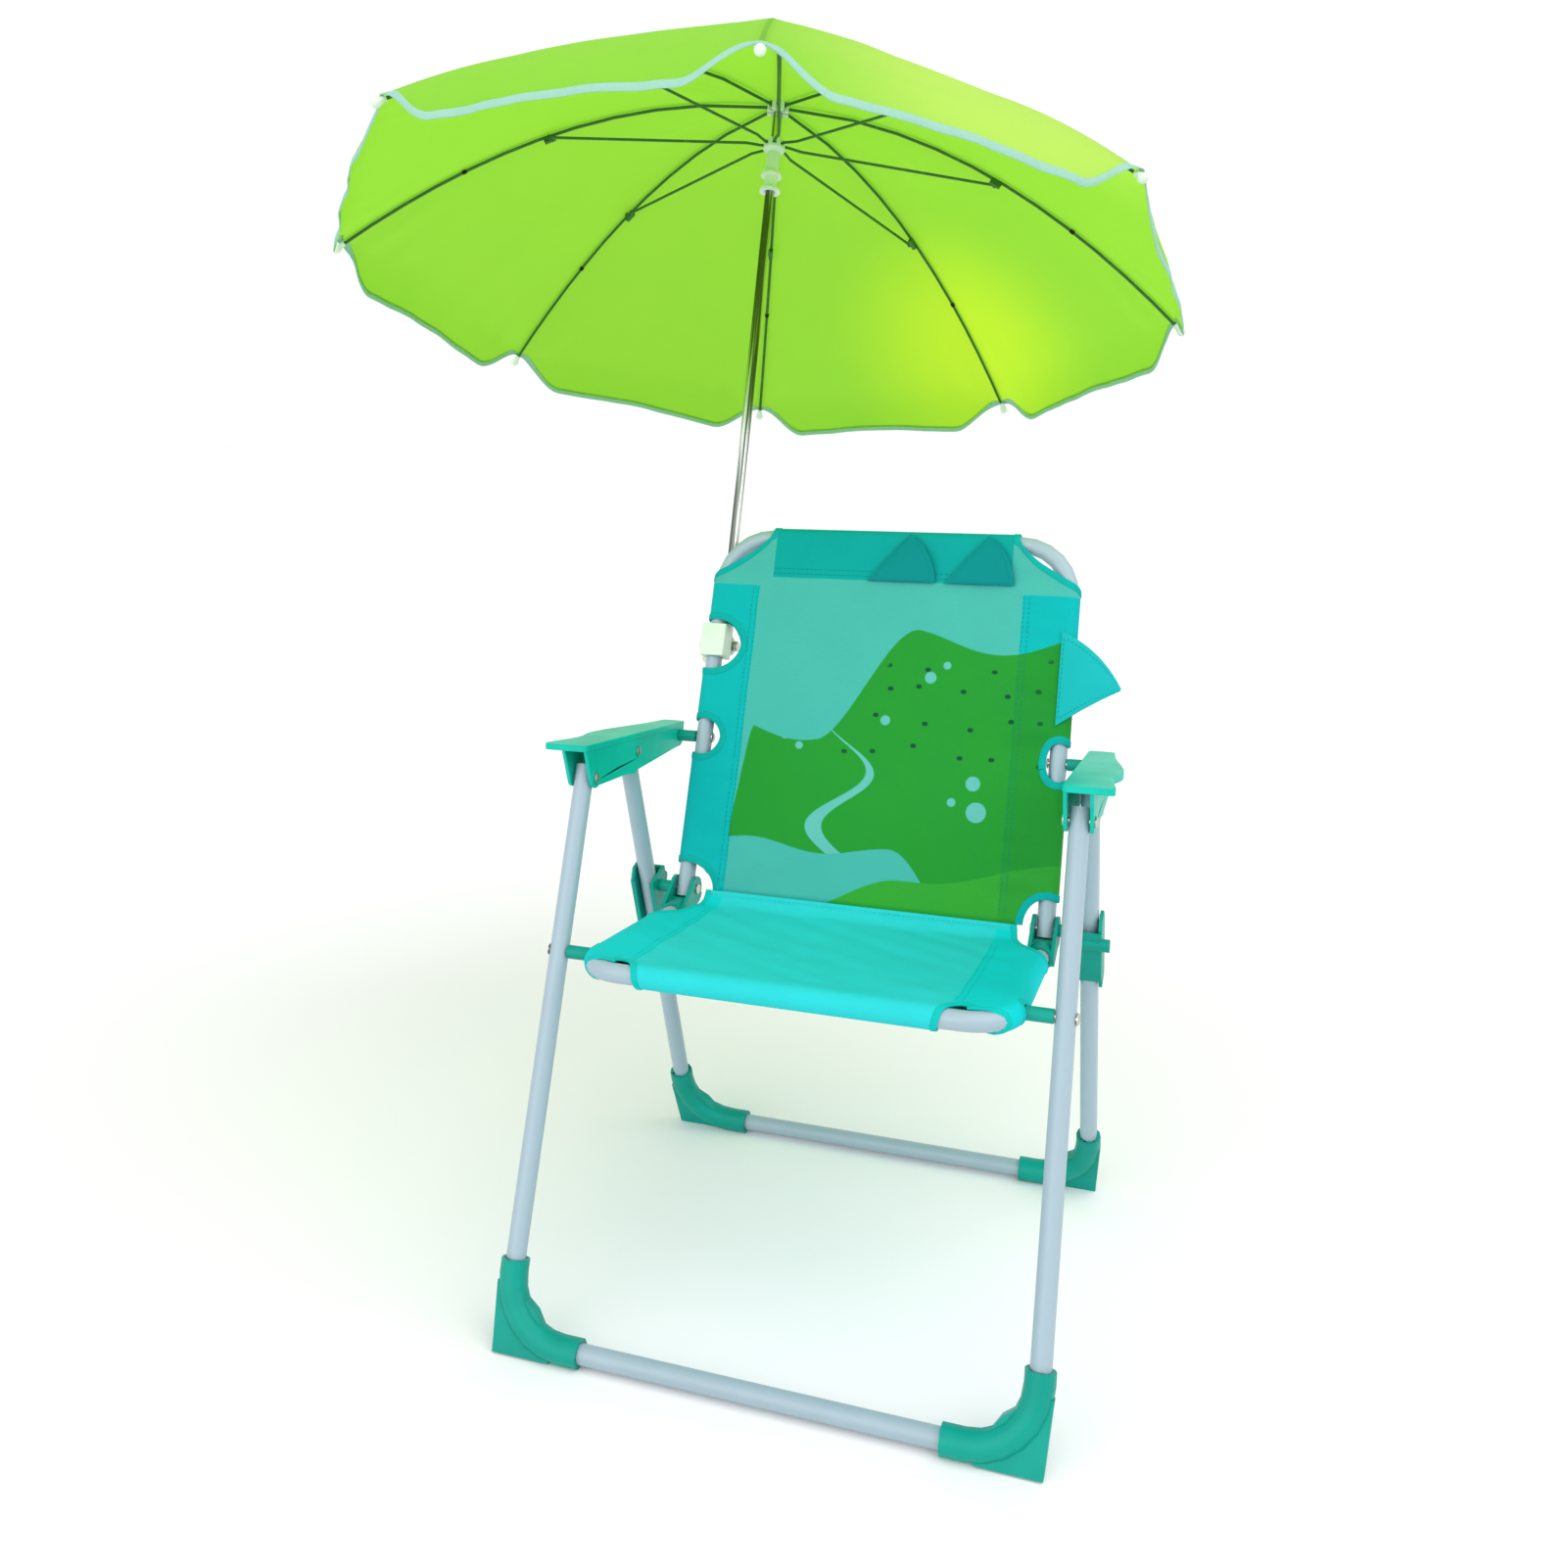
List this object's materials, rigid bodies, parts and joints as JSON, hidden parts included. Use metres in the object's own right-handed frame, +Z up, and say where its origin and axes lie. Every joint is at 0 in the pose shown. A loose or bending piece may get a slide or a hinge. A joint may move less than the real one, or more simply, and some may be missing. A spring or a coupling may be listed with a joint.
{
  "type": "folding umbrella chair",
  "caption": "Child's folding armchair of bent tube with a fabric seat and back, and a tilting folding parasol clamped to one side of the back frame.",
  "frame": {"origin": "On the floor, at the centre of the bounding box seen from above, which is also under the axis of the parasol's pole in X.", "axes": "+Z is up and is the longest extent. The chair faces -Y, and +X is the sitter's left-hand side as seen from the front, which is the right of the picture."},
  "size_m": [0.6994, 0.7509, 0.89],
  "materials": {
    "white_tube": "white powder coat, satin",
    "pole_metal": "thin painted steel tube, satin",
    "teal_plastic": "teal moulded plastic, slight sheen",
    "pale_plastic": "pale translucent moulded plastic",
    "teal_fabric": "woven polyester, teal, stitched",
    "lime_fabric": "thin lime parasol cloth",
    "steel_pin": "plain steel",
    "dark_wire": "dark lacquered spring wire"
  },
  "bodies": {
    "front_frame": {"front_frame_tube": "white_tube", "front_foot_left": "teal_plastic", "front_foot_right": "teal_plastic", "seat_spacer_left": "teal_plastic", "seat_spacer_right": "teal_plastic", "seat_rivet_left": "steel_pin", "seat_rivet_right": "steel_pin"},
    "seat": {"seat_frame_tube": "white_tube", "hinge_fitting_left": "teal_plastic", "hinge_fitting_right": "teal_plastic", "seat_sling": "teal_fabric", "hinge_rivet_left": "steel_pin", "hinge_rivet_right": "steel_pin"},
    "back": {"back_frame_tube": "white_tube", "back_sling": "teal_fabric", "side_fin": "teal_fabric", "top_fin_left": "teal_fabric", "top_fin_right": "teal_fabric", "clamp_body": "pale_plastic", "clamp_bolt": "steel_pin", "clamp_washer": "steel_pin", "arm_spacer_left": "teal_plastic", "arm_spacer_right": "teal_plastic", "arm_rear_rivet_left": "steel_pin", "arm_rear_rivet_right": "steel_pin"},
    "left_arm": {"armrest_left": "teal_plastic", "arm_front_rivet_left": "steel_pin", "arm_leg_rivet_left": "steel_pin"},
    "right_arm": {"armrest_right": "teal_plastic", "arm_front_rivet_right": "steel_pin", "arm_leg_rivet_right": "steel_pin"},
    "rear_frame": {"rear_frame_tube": "white_tube", "rear_foot_left": "teal_plastic", "rear_foot_right": "teal_plastic"},
    "left_slider": {"slider_left": "teal_plastic"},
    "right_slider": {"slider_right": "teal_plastic"},
    "mast": {"pole_holder": "pale_plastic", "umbrella_pole": "pole_metal", "top_notch": "pale_plastic", "top_cap": "pale_plastic", "canopy": "lime_fabric"},
    "tilt_knob": {"clamp_knob": "pale_plastic"},
    "runner": {"runner": "pale_plastic"},
    "rib_1": {"rib_1": "dark_wire"},
    "stretcher_1": {"stretcher_1": "dark_wire"},
    "rib_2": {"rib_2": "dark_wire"},
    "stretcher_2": {"stretcher_2": "dark_wire"},
    "rib_3": {"rib_3": "dark_wire"},
    "stretcher_3": {"stretcher_3": "dark_wire"},
    "rib_4": {"rib_4": "dark_wire"},
    "stretcher_4": {"stretcher_4": "dark_wire"},
    "rib_5": {"rib_5": "dark_wire"},
    "stretcher_5": {"stretcher_5": "dark_wire"},
    "rib_6": {"rib_6": "dark_wire"},
    "stretcher_6": {"stretcher_6": "dark_wire"},
    "rib_7": {"rib_7": "dark_wire"},
    "stretcher_7": {"stretcher_7": "dark_wire"},
    "rib_8": {"rib_8": "dark_wire"},
    "stretcher_8": {"stretcher_8": "dark_wire"}
  },
  "joints": [
    {"name": "seat_fold", "type": "hinge", "parent": "front_frame", "child": "seat", "pos_m": [0.139, -0.28001, 0.23872], "axis": [-1, 0, 0], "range_deg": [0, 94.5], "deforming": ["side_fin"]},
    {"name": "back_fold", "type": "hinge", "parent": "seat", "child": "back", "pos_m": [0.139, -0.12901, 0.23872], "axis": [-1, 0, 0], "range_deg": [-94.6, 0]},
    {"name": "left_arm_fold", "type": "hinge", "parent": "front_frame", "child": "left_arm", "pos_m": [-0.031, -0.2393, 0.35055], "axis": [-1, 0, 0], "range_deg": [0, 94.6]},
    {"name": "right_arm_fold", "type": "hinge", "parent": "front_frame", "child": "right_arm", "pos_m": [0.309, -0.2393, 0.35055], "axis": [-1, 0, 0], "range_deg": [0, 94.6]},
    {"name": "rear_leg_fold", "type": "hinge", "parent": "left_arm", "child": "rear_frame", "pos_m": [0.139, -0.16931, 0.35455], "axis": [-1, 0, 0], "range_deg": [-61.52, 0]},
    {"name": "left_slider_turn", "type": "hinge", "parent": "seat", "child": "left_slider", "pos_m": [-0.031, -0.12901, 0.23872], "axis": [-1, 0, 0], "range_deg": [-61.52, 0]},
    {"name": "right_slider_turn", "type": "hinge", "parent": "seat", "child": "right_slider", "pos_m": [0.309, -0.12901, 0.23872], "axis": [-1, 0, 0], "range_deg": [-61.52, 0]},
    {"name": "parasol_tilt", "type": "hinge", "parent": "back", "child": "mast", "pos_m": [0, -0.04565, 0.41803], "axis": [-1, 0, 0], "range_deg": [0, 30]},
    {"name": "knob_turn", "type": "hinge", "parent": "back", "child": "tilt_knob", "pos_m": [0, -0.04565, 0.41803], "axis": [-1, 0, 0], "continuous": true},
    {"name": "runner_slide", "type": "slide", "parent": "mast", "child": "runner", "axis": [0, -0.284, -0.9588], "range_m": [0, 0.31863], "deforming": ["canopy"]},
    {"name": "rib_1_fold", "type": "hinge", "parent": "mast", "child": "rib_1", "pos_m": [-0.00314, 0.08241, 0.87237], "axis": [0.8934, -0.4308, 0.1276], "range_deg": [0, 54.6]},
    {"name": "stretcher_1_fold", "type": "hinge", "parent": "runner", "child": "stretcher_1", "pos_m": [-0.00314, 0.07247, 0.83881], "axis": [-0.8934, 0.4308, -0.1276], "range_deg": [0, 73.05]},
    {"name": "rib_2_fold", "type": "hinge", "parent": "mast", "child": "rib_2", "pos_m": [0.0022, 0.08203, 0.87248], "axis": [0.9494, 0.3011, -0.0892], "range_deg": [0, 54.6]},
    {"name": "stretcher_2_fold", "type": "hinge", "parent": "runner", "child": "stretcher_2", "pos_m": [0.0022, 0.07209, 0.83892], "axis": [-0.9494, -0.3011, 0.0892], "range_deg": [0, 73.05]},
    {"name": "rib_3_fold", "type": "hinge", "parent": "mast", "child": "rib_3", "pos_m": [0.00625, 0.08539, 0.87149], "axis": [0.4493, 0.8566, -0.2537], "range_deg": [0, 54.6]},
    {"name": "stretcher_3_fold", "type": "hinge", "parent": "runner", "child": "stretcher_3", "pos_m": [0.00625, 0.07545, 0.83793], "axis": [-0.4493, -0.8566, 0.2537], "range_deg": [0, 73.05]},
    {"name": "rib_4_fold", "type": "hinge", "parent": "mast", "child": "rib_4", "pos_m": [0.00665, 0.09051, 0.86997], "axis": [-0.314, 0.9103, -0.2697], "range_deg": [0, 54.6]},
    {"name": "stretcher_4_fold", "type": "hinge", "parent": "runner", "child": "stretcher_4", "pos_m": [0.00665, 0.08057, 0.83641], "axis": [0.314, -0.9103, 0.2697], "range_deg": [0, 73.05]},
    {"name": "rib_5_fold", "type": "hinge", "parent": "mast", "child": "rib_5", "pos_m": [0.00314, 0.0944, 0.86882], "axis": [-0.8934, 0.4308, -0.1276], "range_deg": [0, 54.6]},
    {"name": "stretcher_5_fold", "type": "hinge", "parent": "runner", "child": "stretcher_5", "pos_m": [0.00314, 0.08446, 0.83526], "axis": [0.8934, -0.4308, 0.1276], "range_deg": [0, 73.05]},
    {"name": "rib_6_fold", "type": "hinge", "parent": "mast", "child": "rib_6", "pos_m": [-0.0022, 0.09477, 0.8687], "axis": [-0.9494, -0.3011, 0.0892], "range_deg": [0, 54.6]},
    {"name": "stretcher_6_fold", "type": "hinge", "parent": "runner", "child": "stretcher_6", "pos_m": [-0.0022, 0.08483, 0.83515], "axis": [0.9494, 0.3011, -0.0892], "range_deg": [0, 73.05]},
    {"name": "rib_7_fold", "type": "hinge", "parent": "mast", "child": "rib_7", "pos_m": [-0.00625, 0.09142, 0.8697], "axis": [-0.4493, -0.8566, 0.2537], "range_deg": [0, 54.6]},
    {"name": "stretcher_7_fold", "type": "hinge", "parent": "runner", "child": "stretcher_7", "pos_m": [-0.00625, 0.08148, 0.83614], "axis": [0.4493, 0.8566, -0.2537], "range_deg": [0, 73.05]},
    {"name": "rib_8_fold", "type": "hinge", "parent": "mast", "child": "rib_8", "pos_m": [-0.00665, 0.08629, 0.87122], "axis": [0.314, -0.9103, 0.2697], "range_deg": [0, 54.6]},
    {"name": "stretcher_8_fold", "type": "hinge", "parent": "runner", "child": "stretcher_8", "pos_m": [-0.00665, 0.07636, 0.83766], "axis": [-0.314, 0.9103, -0.2697], "range_deg": [0, 73.05]}
  ],
  "couplings": [
    {"joint": "back_fold", "follows": "seat_fold", "ratio": -1},
    {"joint": "left_arm_fold", "follows": "seat_fold", "ratio": 1},
    {"joint": "right_arm_fold", "follows": "seat_fold", "ratio": 1},
    {"joint": "rear_leg_fold", "follows": "seat_fold", "ratio": -0.65},
    {"joint": "left_slider_turn", "follows": "seat_fold", "ratio": -0.65},
    {"joint": "right_slider_turn", "follows": "seat_fold", "ratio": -0.65},
    {"joint": "rib_1_fold", "follows": "runner_slide", "rad_per_m": 2.9853},
    {"joint": "stretcher_1_fold", "follows": "runner_slide", "rad_per_m": 3.9958},
    {"joint": "rib_2_fold", "follows": "runner_slide", "rad_per_m": 2.9853},
    {"joint": "stretcher_2_fold", "follows": "runner_slide", "rad_per_m": 3.9958},
    {"joint": "rib_3_fold", "follows": "runner_slide", "rad_per_m": 2.9853},
    {"joint": "stretcher_3_fold", "follows": "runner_slide", "rad_per_m": 3.9958},
    {"joint": "rib_4_fold", "follows": "runner_slide", "rad_per_m": 2.9853},
    {"joint": "stretcher_4_fold", "follows": "runner_slide", "rad_per_m": 3.9958},
    {"joint": "rib_5_fold", "follows": "runner_slide", "rad_per_m": 2.9853},
    {"joint": "stretcher_5_fold", "follows": "runner_slide", "rad_per_m": 3.9958},
    {"joint": "rib_6_fold", "follows": "runner_slide", "rad_per_m": 2.9853},
    {"joint": "stretcher_6_fold", "follows": "runner_slide", "rad_per_m": 3.9958},
    {"joint": "rib_7_fold", "follows": "runner_slide", "rad_per_m": 2.9853},
    {"joint": "stretcher_7_fold", "follows": "runner_slide", "rad_per_m": 3.9958},
    {"joint": "rib_8_fold", "follows": "runner_slide", "rad_per_m": 2.9853},
    {"joint": "stretcher_8_fold", "follows": "runner_slide", "rad_per_m": 3.9958}
  ]
}
